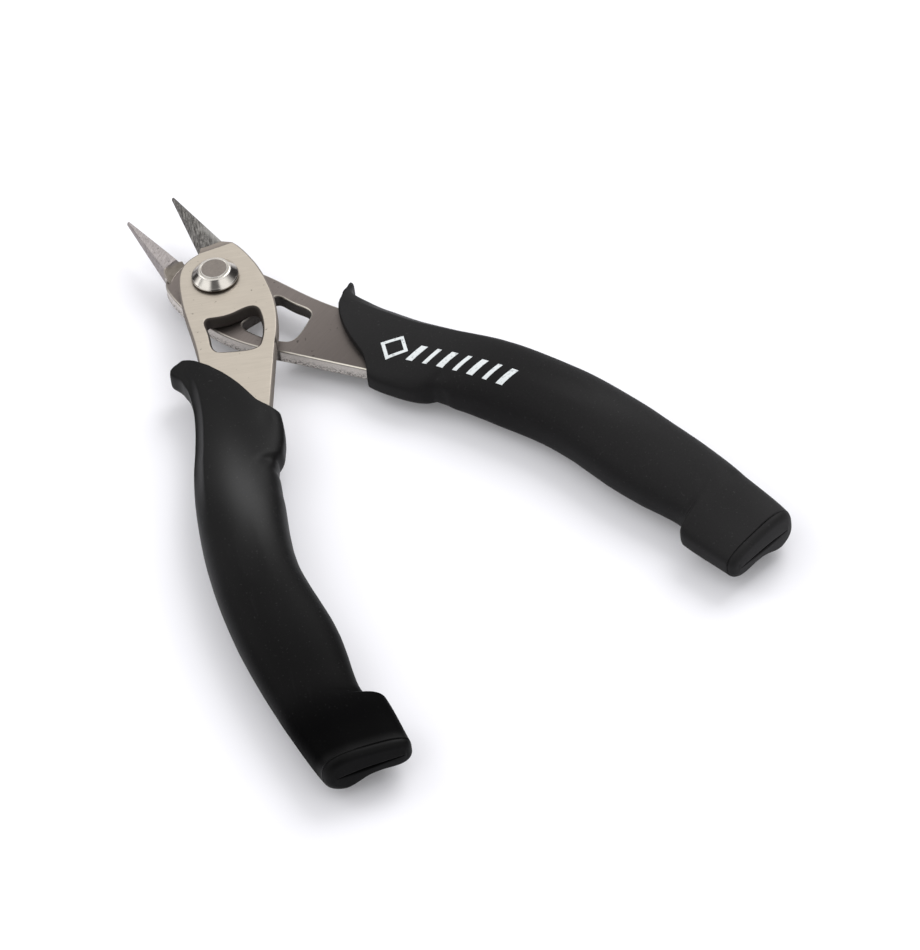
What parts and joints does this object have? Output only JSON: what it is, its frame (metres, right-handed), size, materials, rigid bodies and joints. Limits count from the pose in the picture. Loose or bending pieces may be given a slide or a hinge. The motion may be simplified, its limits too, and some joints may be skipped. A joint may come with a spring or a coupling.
{
  "type": "sprue nippers",
  "caption": "Hand nippers with two riveted stamped steel halves, slim tapered cutting blades, a concealed return spring and moulded soft grips with finger guards.",
  "frame": {"origin": "on the pivot axis, at the centre of the flat back end of the rivet", "axes": "+Z along the pivot axis out through the cap washer, +Y along the centre line towards the blade tips, +X to the right, handles open"},
  "size_m": [0.089, 0.1294, 0.0107],
  "materials": {
    "front_steel": "fine brushed",
    "rear_steel": "fine brushed",
    "rivet_steel": "matte ground",
    "polished_steel": "polished",
    "spring_steel": "drawn wire",
    "grip_rubber": "satin, fine texture"
  },
  "bodies": {
    "rear_lever": {"rear_half": "rear_steel", "right_grip": "grip_rubber", "pivot_rivet": "rivet_steel", "pivot_cap_washer": "polished_steel", "return_spring": "spring_steel"},
    "front_lever": {"front_half": "front_steel", "left_grip": "grip_rubber"}
  },
  "joints": [
    {"name": "jaw_pivot", "type": "hinge", "parent": "rear_lever", "child": "front_lever", "pos_m": [0, 0, 0.0036], "axis": [0, 0, 1], "range_deg": [0, 21.8], "stiffness_Nm_per_rad": 0.6, "springref_deg": -8.59, "deforming": ["return_spring"]}
  ]
}
